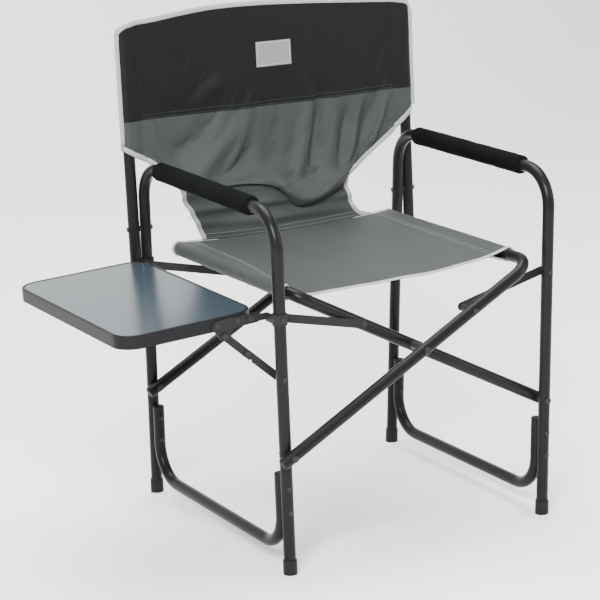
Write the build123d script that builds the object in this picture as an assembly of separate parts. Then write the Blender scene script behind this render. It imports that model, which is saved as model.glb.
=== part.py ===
"""Folding director chair with a fold-down side table, one solid per piece.

Millimetres, +Z up.  Inside this file the chair's mid plane is x = 0 and the sitter
faces -Y.  "Right" is the sitter's right, at -X, the side that carries the table.
The last step moves everything so that the origin is on the floor, in the middle of
the whole object's box.
"""
import math
import os

from build123d import *

# ---------------------------------------------------------------- driving dimensions
TUBE_R = 10.0            # all frame tubes are 20 mm outside
BORE_R = 8.8             # 1.2 mm wall

# side frame: one bent tube makes front leg, arm and rear leg
FLOOR_X = 249.0          # half the distance between the side frames at the floor
LEAN_X = 11.0 / 600.0    # each side frame leans outwards as it rises
FRONT_FOOT_Y = -244.0
FRONT_TOP_Y = -256.0
REAR_FOOT_Y = 244.0
REAR_TOP_Y = 212.0
ARM_FRONT_Z = 599.0
ARM_REAR_Z = 604.0
ARM_BEND_R = 60.0
FOOT_SOLE = 3.0          # thickness of the foot cap under the tube
FOOT_R = 11.6
FOOT_H = 25.0

# foam sleeve on the arm
PAD_R = 16.0
PAD_FRONT_Y = -181.0
PAD_REAR_Y = 148.0
PAD_EDGE_R = 4.0

# lower U tube, inside the two legs of a side frame
BASE_TOP_Z = 166.0
BASE_RUN_Z = 36.5
BASE_BEND_R = 60.0
BASE_GAP = 0.4
BASE_RIVET_Z = (148.0, 108.0)

# back posts, outside the rear legs
POST_X = 280.5
POST_LOW_Z = 364.0
POST_TOP_Z = 831.0
POST_Y_AT_RIVET = 218.0
POST_RAKE = 0.027        # rearward travel for each millimetre of height
POST_RIVET_Z = (493.0, 400.0)

# crossed seat frames
PIVOT_Z = 205.0          # where a crossed frame is bolted to its leg
RAIL_X = 213.0
RAIL_Z = 456.0
TAIL = 17.0              # tube left below the lower pivot
PLUG_DEPTH = 12.0        # plastic plugs in open tube ends
TAIL_PLUG_DEPTH = 9.0
PLUG_HEAD_T = 3.0
OUTER_FRONT_Y = -269.6
OUTER_REAR_Y = 211.6
INNER_FRONT_Y = -225.0
INNER_REAR_Y = 182.0
OUTER_BEND_R = 38.0
INNER_BEND_R = 30.0
FOLD_DEG = 51.5

# flat links between a leg and the crossed frame that rises towards it
LINK_Z = 430.0
LINK_W = 14.0
LINK_T = 2.5
LINK_FRONT_Y = -237.8
LINK_REAR_Y = 195.5

# fasteners
BOLT_R = 3.0
BOLT_HEAD_R = 6.0
RIVET_R = 2.4
RIVET_HEAD_R = 4.6
HEAD_T = 2.4
SPACER_R = 6.5
RUNNING = 0.06           # radial clearance of a turning bolt
CLEAR = 0.3              # gap between faces of pieces that move past each other
SEATED = 10.4            # a flat head or spacer on a slightly leaning 20 mm tube
HOLE_REACH = 20.0        # half length of a cutter that goes right through a tube

# side table
TABLE_INNER_X = -283.0
TABLE_FRONT_Y = -226.0
TABLE_REAR_Y = 191.0
TABLE_TOP_Z = 445.0
TABLE_W = 235.0
TABLE_DROP_DEG = 2.5     # the outer edge sits a little lower
TABLE_CORNER_R = 36.0
RIM_H = 22.0
RIM_T = 5.0
BOARD_T = 9.0
BOARD_STEP = 0.8         # the laminate sits this far below the top of the rim
LEDGE_W = 8.0            # lip inside the rim that the board rests on
LEDGE_T = 2.0
LEDGE_CORNER_R = 23.0
HINGE_X = -297.0
HINGE_Z = 432.5
BRACKET_T = 2.5
BRACKET_SCREWS = ((-355.0, 428.0), (-318.0, 432.0))
STRIP_T = 2.2
STRUT_W = 13.0
STRUT_TOP = (-343.0, 411.0)
STRUT_FOOT_Z = 332.0
STRUT_MID = (-305.0, 376.6)
NOTCH_ALONG = 11.0       # stop notch in the lower strip, below its middle joint
NOTCH_R = 2.6
COLLAR_R = 12.5
COLLAR_H = 18.0
HINGE_ARM_W = 11.0
HINGE_EYE_R = 7.0
WEB_H = 13.0
WEB_X = (-269.5, -265.0)  # the collar's web passes between the post and the link

# fabric, as plain slings
CLOTH_T = 2.4
SLEEVE_GAP = 0.4
SEAT_FRONT_Y = -200.0
SEAT_REAR_Y = 178.0
SEAM_HALF = 158.0        # half width of the seam between seat and back flap
WAIST_HALF = 156.0
WAIST_Z = 536.0
WAIST_Y = 204.0
WAIST_GAP = 4.0          # flap and back are sewn here; as plain solids they stay apart
BACK_LOW_Z = 636.0       # lower end of the sleeves on the posts
BACK_RISE = 30.0         # how much the top edge arches above the post tops
BACK_CURVE = (219.0, 589.0)   # point on the curved edge between waist and sleeve
RIGHT_SLEEVE_Y = (-192.0, 149.0)
LEFT_SLEEVE_Y = (SEAT_FRONT_Y, 168.0)

RIGHT = -1
LEFT = 1
FRONT = -1
REAR = 1


# ---------------------------------------------------------------- places on the frame
def side_x(side, z):
    """Centre plane of a side frame at height z."""
    return side * (FLOOR_X + LEAN_X * z)


def leg_y(end, z):
    """Centre of the front or rear leg at height z."""
    if end == FRONT:
        return FRONT_FOOT_Y + (FRONT_TOP_Y - FRONT_FOOT_Y) * z / ARM_FRONT_Z
    return REAR_FOOT_Y + (REAR_TOP_Y - REAR_FOOT_Y) * z / ARM_REAR_Z


def leg_point(side, end, z):
    return Vector(side_x(side, z), leg_y(end, z), z)


def post_y(z):
    return POST_Y_AT_RIVET + POST_RAKE * (z - POST_RIVET_Z[0])


PIVOT_X = abs(side_x(RIGHT, PIVOT_Z))
REST_DEG = math.degrees(math.atan2(RAIL_Z - PIVOT_Z, PIVOT_X + RAIL_X))
HALF_LEG = PIVOT_X / math.cos(math.radians(REST_DEG))
CENTRE_Z = PIVOT_Z + HALF_LEG * math.sin(math.radians(REST_DEG))
LINK_X = abs(side_x(RIGHT, LINK_Z))


def crossed_point(distance, fold=0.0):
    """Point of the inner frame, from its pivot at +X, as (x, z) in the folding plane."""
    turned = math.radians(REST_DEG + fold)
    spread = HALF_LEG * math.cos(turned)
    return (spread - distance * math.cos(turned), PIVOT_Z + distance * math.sin(turned))


def link_distance():
    """Place of the link's pin along the inner frame, the same link length open and folded."""
    terms = []
    for fold in (0.0, FOLD_DEG):
        turned = math.radians(REST_DEG + fold)
        spread = HALF_LEG * math.cos(turned)
        along = Vector(-math.cos(turned), 0, math.sin(turned))
        leg_pin = Vector(-2 * spread - (LINK_X - PIVOT_X), 0, LINK_Z - PIVOT_Z)
        terms.append((leg_pin.dot(leg_pin), along.dot(leg_pin)))
    (square_open, dot_open), (square_shut, dot_shut) = terms
    return (square_open - square_shut) / (2 * (dot_open - dot_shut))


LINK_ALONG = link_distance()
STUD_X, STUD_Z = crossed_point(LINK_ALONG)
LINK_LENGTH = math.hypot(STUD_X + LINK_X, STUD_Z - LINK_Z)


def link_turn():
    """How far a link swings while the chair folds, in degrees."""
    open_deg = math.degrees(math.atan2(STUD_Z - LINK_Z, STUD_X + LINK_X))
    stud_x, stud_z = crossed_point(LINK_ALONG, FOLD_DEG)
    spread = HALF_LEG * math.cos(math.radians(REST_DEG + FOLD_DEG))
    leg_x = -spread - (LINK_X - PIVOT_X)
    return math.degrees(math.atan2(stud_z - LINK_Z, stud_x - leg_x)) - open_deg


# ---------------------------------------------------------------- shapes used again
def rod(start, end, radius):
    """Solid cylinder between two points."""
    start, end = Vector(start), Vector(end)
    low = (Align.CENTER, Align.CENTER, Align.MIN)
    axis = end - start
    return Plane(origin=start, z_dir=axis) * Cylinder(radius, axis.length, align=low)


def pipe(start, end, outer, inner):
    return rod(start, end, outer) - rod(start, end, inner)


def bent_tube(points, bend, outer=TUBE_R, inner=BORE_R):
    """Hollow tube along straight runs joined by tangent bends."""
    path = FilletPolyline(*points, radius=bend)
    across = Plane(origin=path @ 0, z_dir=path % 0)
    return sweep(across * Circle(outer), path=path) - sweep(across * Circle(inner), path=path)


def head(at, outwards, radius, thick):
    """Low domed head standing on a face."""
    at = Vector(at)
    disc = rod(at, at + Vector(outwards).normalized() * thick, radius)
    rim = disc.edges().filter_by(GeomType.CIRCLE).sort_by_distance(at)[-1]
    return fillet(rim, thick * 0.8)


def pin(start, end, shank=RIVET_R, cap=RIVET_HEAD_R, thick=HEAD_T):
    """Rivet or bolt: a shank with a head on each end."""
    start, end = Vector(start), Vector(end)
    axis = end - start
    return rod(start, end, shank) + head(start, axis * -1, cap, thick) + head(end, axis, cap, thick)


def across_y(x, z, low_y, high_y, **size):
    return pin((x, low_y, z), (x, high_y, z), **size)


def bored(solid, holes):
    """Cut round holes: each is (start, end, radius)."""
    for start, end, radius in holes:
        solid -= rod(start, end, radius)
    return solid


def strip(start, end, width, low_y, thick, hole_r):
    """Flat strip in a plane across Y with round ends and a hole at each end."""
    (ax, az), (bx, bz) = start, end
    length = math.hypot(bx - ax, bz - az)
    tilt = math.degrees(math.atan2(bz - az, bx - ax))
    flat = SlotCenterToCenter(length, width) - Pos(-length / 2, 0) * Circle(hole_r)
    flat -= Pos(length / 2, 0) * Circle(hole_r)
    plate = extrude(flat, amount=thick)
    # a sketch in XY turned up into the XZ plane grows towards -Y
    return Pos((ax + bx) / 2, low_y + thick, (az + bz) / 2) * Rot(0, -tilt, 0) * Rot(90, 0, 0) * plate


PARTS = {}


def keep(name, *solids):
    PARTS[name] = list(solids)


# ---------------------------------------------------------------- side frames
def side_frame(side, word):
    """Arm tube, lower U tube, back post, foam pad and the hardware that joins them."""
    sole = [leg_point(side, end, FOOT_SOLE) for end in (FRONT, REAR)]
    arm_front = Vector(side_x(side, ARM_FRONT_Z), FRONT_TOP_Y, ARM_FRONT_Z)
    arm_rear = Vector(side_x(side, ARM_REAR_Z), REAR_TOP_Y, ARM_REAR_Z)
    arm = bent_tube([sole[0], arm_front, arm_rear, sole[1]], ARM_BEND_R)

    base_points = []
    for end in (FRONT, REAR):
        for z in (BASE_TOP_Z, BASE_RUN_Z):
            inwards = -end * (2 * TUBE_R + BASE_GAP)
            base_points.append(leg_point(side, end, z) + Vector(0, inwards, 0))
    top_front, low_front, top_rear, low_rear = base_points
    base = bent_tube([top_front, low_front, low_rear, top_rear], BASE_BEND_R)

    post_low = Vector(side * POST_X, post_y(POST_LOW_Z), POST_LOW_Z)
    post_top = Vector(side * POST_X, post_y(POST_TOP_Z), POST_TOP_Z)
    post = pipe(post_low, post_top, TUBE_R, BORE_R)

    # rivets through a leg and the lower tube, front and rear
    base_rivets = []
    for end in (FRONT, REAR):
        for z in BASE_RIVET_Z:
            leg = leg_point(side, end, z)
            outer = leg + Vector(0, end * SEATED, 0)
            inner = leg - Vector(0, end * (2 * TUBE_R + BASE_GAP + SEATED), 0)
            base_rivets.append(pin(outer, inner))
            hole = (outer, inner, RIVET_R)
            arm = bored(arm, [hole])
            base = bored(base, [hole])

    # rivets through a rear leg and the post, with a spacer between the tubes
    post_rivets = []
    for z in POST_RIVET_Z:
        leg = leg_point(side, REAR, z)
        y = (leg.Y + post_y(z)) / 2
        inner = Vector(leg.X - side * SEATED, y, z)
        outer = Vector(side * (POST_X + SEATED), y, z)
        reach = math.sqrt(TUBE_R ** 2 - (leg.Y - y) ** 2)
        collar = rod((leg.X + side * reach, y, z), (side * (POST_X - reach), y, z), RIVET_HEAD_R)
        collar -= rod(leg_point(side, REAR, z - HOLE_REACH), leg_point(side, REAR, z + HOLE_REACH),
                      TUBE_R)
        collar -= rod(post_low, post_top, TUBE_R)
        post_rivets.append(pin(inner, outer) + collar)
        arm = bored(arm, [(inner, outer, RIVET_R)])
        post = bored(post, [(inner, outer, RIVET_R)])

    # round feet, cut level where they meet the floor
    feet = []
    for end in (FRONT, REAR):
        low, high = leg_point(side, end, -6), leg_point(side, end, FOOT_H)
        cap = rod(low, high, FOOT_R)
        rim = cap.edges().filter_by(GeomType.CIRCLE).sort_by(Axis.Z)[-1]
        cap = fillet(rim, 1.0)
        cap -= rod(leg_point(side, end, FOOT_SOLE), leg_point(side, end, FOOT_H + 4), TUBE_R)
        cap -= Pos(low.X, low.Y, -20) * Box(60, 60, 40)
        feet.append(cap)

    # plugs in the open tube ends
    plugs = []
    for end, top in ((FRONT, top_front), (REAR, top_rear)):
        below = leg_point(side, end, BASE_TOP_Z - PLUG_DEPTH)
        below += top - leg_point(side, end, BASE_TOP_Z)
        lift = (top - below).normalized()
        plugs.append(rod(below, top, BORE_R) + head(top, lift, TUBE_R, PLUG_HEAD_T))
    up = (post_top - post_low).normalized()
    post_plugs = []
    for at, out in ((post_top, up), (post_low, up * -1)):
        plug = rod(at - out * PLUG_DEPTH, at, BORE_R)
        post_plugs.append(plug + head(at, out, TUBE_R, PLUG_HEAD_T))

    # foam sleeve along the straight part of the arm
    rise = (arm_rear - arm_front) * (1 / (arm_rear.Y - arm_front.Y))
    pad_front = arm_front + rise * (PAD_FRONT_Y - arm_front.Y)
    pad_rear = arm_front + rise * (PAD_REAR_Y - arm_front.Y)
    pad = rod(pad_front, pad_rear, PAD_R)
    pad = fillet(pad.edges().filter_by(GeomType.CIRCLE), PAD_EDGE_R) - rod(pad_front, pad_rear, TUBE_R)

    keep(f"base_tube_{word}", base)
    keep(f"back_post_{word}", post)
    keep(f"arm_pad_{word}", pad)
    keep(f"foot_caps_{word}", *feet)
    keep(f"base_tube_plugs_{word}", *plugs)
    keep(f"post_plugs_{word}", *post_plugs)
    keep(f"base_rivets_{word}", *base_rivets)
    keep(f"post_rivets_{word}", *post_rivets)
    return arm


# ---------------------------------------------------------------- crossed frames
def crossed_frame(side, front_y, rear_y, bend):
    """U tube pivoted low on one side, with its rail at seat height on the other side."""
    slope = (RAIL_Z - PIVOT_Z) / (PIVOT_X + RAIL_X)
    back_x = TAIL * math.cos(math.radians(REST_DEG))
    low = Vector(side * (PIVOT_X + back_x), 0, PIVOT_Z - back_x * slope)
    rail = Vector(-side * RAIL_X, 0, RAIL_Z)
    front, rear = Vector(0, front_y, 0), Vector(0, rear_y, 0)
    return bent_tube([low + front, rail + front, rail + rear, low + rear], bend)


def tail_plugs(side, front_y, rear_y):
    turned = math.radians(REST_DEG)
    out = Vector(side * math.cos(turned), 0, -math.sin(turned))
    plugs = []
    for y in (front_y, rear_y):
        end = Vector(side * PIVOT_X, y, PIVOT_Z) + out * TAIL
        plug = rod(end - out * TAIL_PLUG_DEPTH, end, BORE_R)
        plugs.append(plug + head(end, out, TUBE_R, PLUG_HEAD_T))
    return plugs


def pivot_bolt(x, z, spans, spacer, bolt_r=BOLT_R):
    """Bolt across Y from the first to the last y in spans, with a spacer ring on it."""
    bolt = across_y(x, z, spans[0], spans[1], shank=bolt_r, cap=BOLT_HEAD_R)
    return bolt + pipe((x, spacer[0], z), (x, spacer[1], z), SPACER_R, bolt_r)


def through(x, z, y, radius):
    """Cutter across Y for a hole right through whatever stands at y."""
    return ((x, y - HOLE_REACH, z), (x, y + HOLE_REACH, z), radius)


def frames():
    """Both side frames and both crossed frames, with the bolts and links that join them."""
    arms = {side: side_frame(side, word) for side, word in ((RIGHT, "right"), (LEFT, "left"))}
    outer = crossed_frame(RIGHT, OUTER_FRONT_Y, OUTER_REAR_Y, OUTER_BEND_R)
    inner = crossed_frame(LEFT, INNER_FRONT_Y, INNER_REAR_Y, INNER_BEND_R)

    # lower pivots: bolts held in the legs, crossed tubes turning on them
    front_leg, rear_leg = leg_y(FRONT, PIVOT_Z), leg_y(REAR, PIVOT_Z)
    reach = TUBE_R + CLEAR
    keep("lower_pivot_bolts_right",
         pivot_bolt(-PIVOT_X, PIVOT_Z, (OUTER_FRONT_Y - reach, front_leg + SEATED),
                    (OUTER_FRONT_Y + reach, front_leg - SEATED)),
         pivot_bolt(-PIVOT_X, PIVOT_Z, (OUTER_REAR_Y - reach, rear_leg + SEATED),
                    (OUTER_REAR_Y + reach, rear_leg - SEATED)))
    keep("lower_pivot_bolts_left",
         pivot_bolt(PIVOT_X, PIVOT_Z, (front_leg - SEATED, INNER_FRONT_Y + reach),
                    (front_leg + SEATED, INNER_FRONT_Y - reach)),
         pivot_bolt(PIVOT_X, PIVOT_Z, (INNER_REAR_Y - reach, rear_leg + SEATED),
                    (INNER_REAR_Y + reach, rear_leg - SEATED)))
    for side in (RIGHT, LEFT):
        arms[side] = bored(arms[side], [
            through(side * PIVOT_X, PIVOT_Z, front_leg, BOLT_R),
            through(side * PIVOT_X, PIVOT_Z, rear_leg, BOLT_R)])
    turning = BOLT_R + RUNNING
    outer = bored(outer, [
        through(-PIVOT_X, PIVOT_Z, OUTER_FRONT_Y, turning),
        through(-PIVOT_X, PIVOT_Z, OUTER_REAR_Y, turning)])
    inner = bored(inner, [
        through(PIVOT_X, PIVOT_Z, INNER_FRONT_Y, turning),
        through(PIVOT_X, PIVOT_Z, INNER_REAR_Y, turning)])

    # centre pivots: bolts held in the outer frame
    keep("centre_pivot_bolts",
         pivot_bolt(0, CENTRE_Z, (OUTER_FRONT_Y - TUBE_R, INNER_FRONT_Y + reach),
                    (OUTER_FRONT_Y + TUBE_R, INNER_FRONT_Y - reach)),
         pivot_bolt(0, CENTRE_Z, (INNER_REAR_Y - reach, OUTER_REAR_Y + TUBE_R),
                    (INNER_REAR_Y + reach, OUTER_REAR_Y - TUBE_R)))
    outer = bored(outer, [
        through(0, CENTRE_Z, OUTER_FRONT_Y, BOLT_R),
        through(0, CENTRE_Z, OUTER_REAR_Y, BOLT_R)])
    inner = bored(inner, [
        through(0, CENTRE_Z, INNER_FRONT_Y, turning),
        through(0, CENTRE_Z, INNER_REAR_Y, turning)])

    # studs on the crossed frames that face the free ends of the links
    half = LINK_T / 2 + CLEAR
    studs = {
        "inner": (-1, INNER_FRONT_Y, LINK_FRONT_Y + half, INNER_REAR_Y, LINK_REAR_Y - half),
        "outer": (1, OUTER_FRONT_Y, LINK_FRONT_Y - half, OUTER_REAR_Y, LINK_REAR_Y + half),
    }
    tubes = {"inner": inner, "outer": outer}
    for word, (side, front_y, front_face, rear_y, rear_face) in studs.items():
        x = side * abs(STUD_X)
        made = []
        for tube_y, face in ((front_y, front_face), (rear_y, rear_face)):
            towards = 1 if face > tube_y else -1
            surface = tube_y + towards * TUBE_R
            far = tube_y - towards * TUBE_R
            stud = rod((x, far, STUD_Z), (x, surface, STUD_Z), RIVET_R)
            stud += rod((x, surface, STUD_Z), (x, face, STUD_Z), RIVET_HEAD_R)
            stud += head((x, far, STUD_Z), (0, -towards, 0), RIVET_HEAD_R, HEAD_T)
            made.append(stud)
            hole = through(x, STUD_Z, tube_y, RIVET_R)
            tubes[word] = bored(tubes[word], [hole])
        keep(f"{word}_link_studs", *made)

    # links, the bolts that carry them on the legs, and the rivets in their free ends
    for side, word in ((RIGHT, "right"), (LEFT, "left")):
        leg_end = (side * LINK_X, LINK_Z)
        free_end = (side * abs(STUD_X), STUD_Z)
        bolts, rivets = [], []
        for end, name, link_y in ((FRONT, "front", LINK_FRONT_Y), (REAR, "rear", LINK_REAR_Y)):
            low_y = link_y - LINK_T / 2
            hole_r = RIVET_R + RUNNING
            link = strip(leg_end, free_end, LINK_W, low_y, LINK_T, hole_r)
            keep(f"link_{word}_{name}", link)
            leg = leg_y(end, LINK_Z)
            seat = COLLAR_R + SEATED - TUBE_R if side == RIGHT else SEATED
            outer_y = leg + end * seat
            inner_y = link_y - end * (LINK_T / 2 + CLEAR)
            spacer_from = leg - end * seat
            spacer_to = link_y + end * (LINK_T / 2 + CLEAR)
            x = side * LINK_X
            bolt = across_y(x, LINK_Z, *sorted((outer_y, inner_y)), thick=1.4)
            bolt += pipe((x, spacer_from, LINK_Z), (x, spacer_to, LINK_Z), RIVET_HEAD_R, RIVET_R)
            bolts.append(bolt)
            arms[side] = bored(arms[side], [through(x, LINK_Z, leg, RIVET_R)])
            # the free end's rivet stays inside the link on the side of the stud
            on_inner = side == RIGHT
            away = end if on_inner else -end
            x, z = free_end
            near, far = link_y - away * LINK_T / 2, link_y + away * LINK_T / 2
            rivet = rod((x, near, z), (x, far, z), hole_r)
            rivets.append(rivet + head((x, far, z), (0, away, 0), RIVET_HEAD_R, 1.2))
        keep(f"link_bolts_{word}", *bolts)
        keep(f"link_rivets_{word}", *rivets)

    keep("outer_seat_frame", tubes["outer"])
    keep("inner_seat_frame", tubes["inner"])
    keep("outer_frame_plugs", *tail_plugs(RIGHT, OUTER_FRONT_Y, OUTER_REAR_Y))
    keep("inner_frame_plugs", *tail_plugs(LEFT, INNER_FRONT_Y, INNER_REAR_Y))
    return arms


# ---------------------------------------------------------------- side table
def table_place(solid):
    """Put a piece drawn flat, inner edge at x = 0 and top at z = 0, where the table is."""
    mid_y = (TABLE_FRONT_Y + TABLE_REAR_Y) / 2
    return Pos(TABLE_INNER_X, mid_y, TABLE_TOP_Z) * Rot(0, -TABLE_DROP_DEG, 0) * solid


def table_pieces():
    length = TABLE_REAR_Y - TABLE_FRONT_Y
    middle = Pos(-TABLE_W / 2, 0, 0)
    outline = RectangleRounded(TABLE_W, length, TABLE_CORNER_R)
    hollow = RectangleRounded(TABLE_W - 2 * RIM_T, length - 2 * RIM_T, TABLE_CORNER_R - RIM_T)
    rim = extrude(outline - hollow, amount=-RIM_H)
    rim = fillet(rim.edges().group_by(Axis.Z)[-1], 1.6)
    board = Pos(0, 0, -BOARD_STEP) * extrude(hollow, amount=-BOARD_T)
    inset = 2 * (RIM_T + LEDGE_W)
    ledge_inner = RectangleRounded(TABLE_W - inset, length - inset, LEDGE_CORNER_R)
    ledge = Pos(0, 0, -BOARD_STEP - BOARD_T) * extrude(hollow - ledge_inner, amount=-LEDGE_T)
    rim = table_place(middle * (rim + ledge))
    for x, z in BRACKET_SCREWS:
        for end, rim_y in ((FRONT, TABLE_FRONT_Y), (REAR, TABLE_REAR_Y)):
            rim = bored(rim, [((x, rim_y + end, z), (x, rim_y - end * RIM_T, z), RIVET_R)])
    keep("table_rim", rim)
    keep("table_board", table_place(middle * board))


def bracket_flat():
    """Outline of the plate that joins rim, hinge and strut, drawn in x and z."""
    boss = BRACKET_SCREWS[0]
    inner_end = (-285.0, HINGE_Z)
    lobes = Pos(*boss) * Circle(8.5) + Pos(*STRUT_TOP) * Circle(8.0)
    lobes += Pos(-330.0, 431.0) * Circle(8.5)
    body = make_hull(lobes.edges())
    bar = Pos(*boss) * Circle(8.5) + Pos(*inner_end) * Circle(8.0)
    plate = body + make_hull(bar.edges())
    for place in (*BRACKET_SCREWS, (HINGE_X, HINGE_Z), STRUT_TOP):
        plate -= Pos(*place) * Circle(RIVET_R)
    return plate


def notch_place(foot):
    """Middle of the stop notch, on the lower edge of the lower strip, as x and z."""
    run_x, run_z = foot[0] - STRUT_MID[0], foot[1] - STRUT_MID[1]
    length = math.hypot(run_x, run_z)
    along_x, along_z = run_x / length, run_z / length
    return (STRUT_MID[0] + along_x * NOTCH_ALONG + along_z * STRUT_W / 2,
            STRUT_MID[1] + along_z * NOTCH_ALONG - along_x * STRUT_W / 2)


def upright(flat, low_y, thick):
    """Turn a sketch drawn in x and z into a plate standing across Y."""
    return Pos(0, low_y + thick, 0) * Rot(90, 0, 0) * extrude(flat, amount=thick)


def table_arms(arms):
    """Hinge brackets, collars on the legs and the two-part strut at each end of the table."""
    x_leg = side_x(RIGHT, LINK_Z)
    foot_x = side_x(RIGHT, STRUT_FOOT_Z)
    foot = (foot_x, STRUT_FOOT_Z)
    groups = {name: [] for name in ("plates", "screws", "hinge", "top_pins", "collars", "feet")}
    for end, name, rim_y in ((FRONT, "front", TABLE_FRONT_Y), (REAR, "rear", TABLE_REAR_Y)):
        gap = 0.3
        # faces counted outwards from the rim: plate, then arm and upper strip, then lower strip
        plate_far = rim_y + end * (BRACKET_T + gap)
        upper_near = plate_far + end * gap
        upper_far = upper_near + end * STRIP_T
        lower_near = upper_far + end * gap
        lower_far = lower_near + end * STRIP_T
        plate_low = min(rim_y + end * gap, plate_far)
        groups["plates"].append(upright(bracket_flat(), plate_low, BRACKET_T))
        # two screws hold the plate on the rim
        for x, z in BRACKET_SCREWS:
            screw = rod((x, rim_y - end * 4, z), (x, plate_far, z), RIVET_R)
            screw += head((x, plate_far, z), (0, end, 0), RIVET_HEAD_R, 1.6)
            groups["screws"].append(screw)
        # pins through the plate for the arm and for the strut
        for key, (x, z) in (("hinge", (HINGE_X, HINGE_Z)), ("top_pins", STRUT_TOP)):
            start = (x, rim_y + end * gap, z)
            made = rod(start, (x, upper_far + end * 0.1, z), RIVET_R)
            made += head((x, upper_far + end * 0.1, z), (0, end, 0), RIVET_HEAD_R, 1.6)
            groups[key].append(made)
        # collar round the leg with an arm reaching out to the hinge
        leg = leg_y(end, LINK_Z)
        half = COLLAR_H / 2
        ring = rod(leg_point(RIGHT, end, LINK_Z - half), leg_point(RIGHT, end, LINK_Z + half), COLLAR_R)
        arm_low, arm_high = sorted((upper_near, upper_far))
        plate = Pos((HINGE_X + WEB_X[1]) / 2, (arm_low + arm_high) / 2, HINGE_Z)
        plate *= Box(WEB_X[1] - HINGE_X, STRIP_T, HINGE_ARM_W)
        plate += rod((HINGE_X, arm_low, HINGE_Z), (HINGE_X, arm_high, HINGE_Z), HINGE_EYE_R)
        web_low, web_high = min(arm_low, leg), max(arm_high, leg)
        web = Pos(sum(WEB_X) / 2, (web_low + web_high) / 2, LINK_Z + 1)
        web *= Box(WEB_X[1] - WEB_X[0], web_high - web_low, WEB_H)
        collar = ring + plate + web
        collar -= rod(leg_point(RIGHT, end, LINK_Z - HOLE_REACH),
                      leg_point(RIGHT, end, LINK_Z + HOLE_REACH), TUBE_R)
        collar = bored(collar, [through(HINGE_X, HINGE_Z, arm_low, RIVET_R + RUNNING),
                                through(x_leg, LINK_Z, leg, RIVET_R)])
        groups["collars"].append(collar)
        # two-part strut with a round stop notch below its middle joint
        notch_x, notch_z = notch_place(foot)
        upper = strip(STRUT_TOP, STRUT_MID, STRUT_W, min(upper_near, upper_far), STRIP_T,
                      RIVET_R + RUNNING)
        lower = strip(STRUT_MID, foot, STRUT_W, min(lower_near, lower_far), STRIP_T,
                      RIVET_R + RUNNING)
        lower = bored(lower, [through(notch_x, notch_z, lower_near, NOTCH_R)])
        keep(f"strut_upper_{name}", upper)
        keep(f"strut_lower_{name}", lower)
        x, z = STRUT_MID
        upper_rivet = rod((x, upper_near, z), (x, upper_far, z), RIVET_R + RUNNING)
        lower_rivet = rod((x, lower_near, z), (x, lower_far, z), RIVET_R + RUNNING)
        lower_rivet += head((x, lower_far, z), (0, end, 0), RIVET_HEAD_R, 1.0)
        groups.setdefault("upper_rivets", []).append(upper_rivet)
        groups.setdefault("lower_rivets", []).append(lower_rivet)
        # bolt that carries the strut on the leg
        leg = leg_y(end, STRUT_FOOT_Z)
        inside = lower_near - end * 0.1
        bolt = pin((foot_x, leg + end * SEATED, STRUT_FOOT_Z), (foot_x, inside, STRUT_FOOT_Z),
                   thick=1.6)
        bolt += pipe((foot_x, leg - end * SEATED, STRUT_FOOT_Z),
                     (foot_x, lower_far + end * 0.2, STRUT_FOOT_Z), RIVET_HEAD_R, RIVET_R)
        groups["feet"].append(bolt)
        arms[RIGHT] = bored(arms[RIGHT], [through(foot_x, STRUT_FOOT_Z, leg, RIVET_R)])
    keep("table_brackets", *groups["plates"])
    keep("table_bracket_screws", *groups["screws"])
    keep("table_hinge_pins", *groups["hinge"])
    keep("strut_top_pins", *groups["top_pins"])
    keep("strut_rivets_upper", *groups["upper_rivets"])
    keep("strut_rivets_lower", *groups["lower_rivets"])
    keep("table_collars", *groups["collars"])
    keep("strut_foot_bolts", *groups["feet"])


# ---------------------------------------------------------------- slings
def seat_sling():
    """Seat cloth: a sleeve on each rail, the sheet between and the flap that joins the back."""
    inside = TUBE_R + SLEEVE_GAP
    outside = inside + CLOTH_T
    sheet_low = RAIL_Z + inside
    sheet = Pos(0, (SEAT_FRONT_Y + SEAT_REAR_Y) / 2, sheet_low + CLOTH_T / 2)
    sheet *= Box(2 * RAIL_X, SEAT_REAR_Y - SEAT_FRONT_Y, CLOTH_T)
    sling = sheet
    for x, (low_y, high_y) in ((-RAIL_X, RIGHT_SLEEVE_Y), (RAIL_X, LEFT_SLEEVE_Y)):
        sling += rod((x, low_y, RAIL_Z), (x, high_y, RAIL_Z), outside)
    for x in (-RAIL_X, RAIL_X):
        sling -= rod((x, -270, RAIL_Z), (x, 250, RAIL_Z), inside)
    # flap rising from the rear edge, narrower towards the waist
    corners = [(SEAM_HALF, sheet_low), (WAIST_HALF, WAIST_Z), (-WAIST_HALF, WAIST_Z),
               (-SEAM_HALF, sheet_low)]
    flat = make_face(Polyline(*corners, close=True))
    rise = WAIST_Z - sheet_low
    back_tilt = math.degrees(math.atan2(WAIST_Y - SEAT_REAR_Y, rise))
    flap = Rot(90, 0, 0) * extrude(Pos(0, -sheet_low) * flat, amount=CLOTH_T)
    flap = Pos(0, SEAT_REAR_Y, sheet_low) * Rot(-back_tilt, 0, 0) * flap
    return sling + flap


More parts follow.
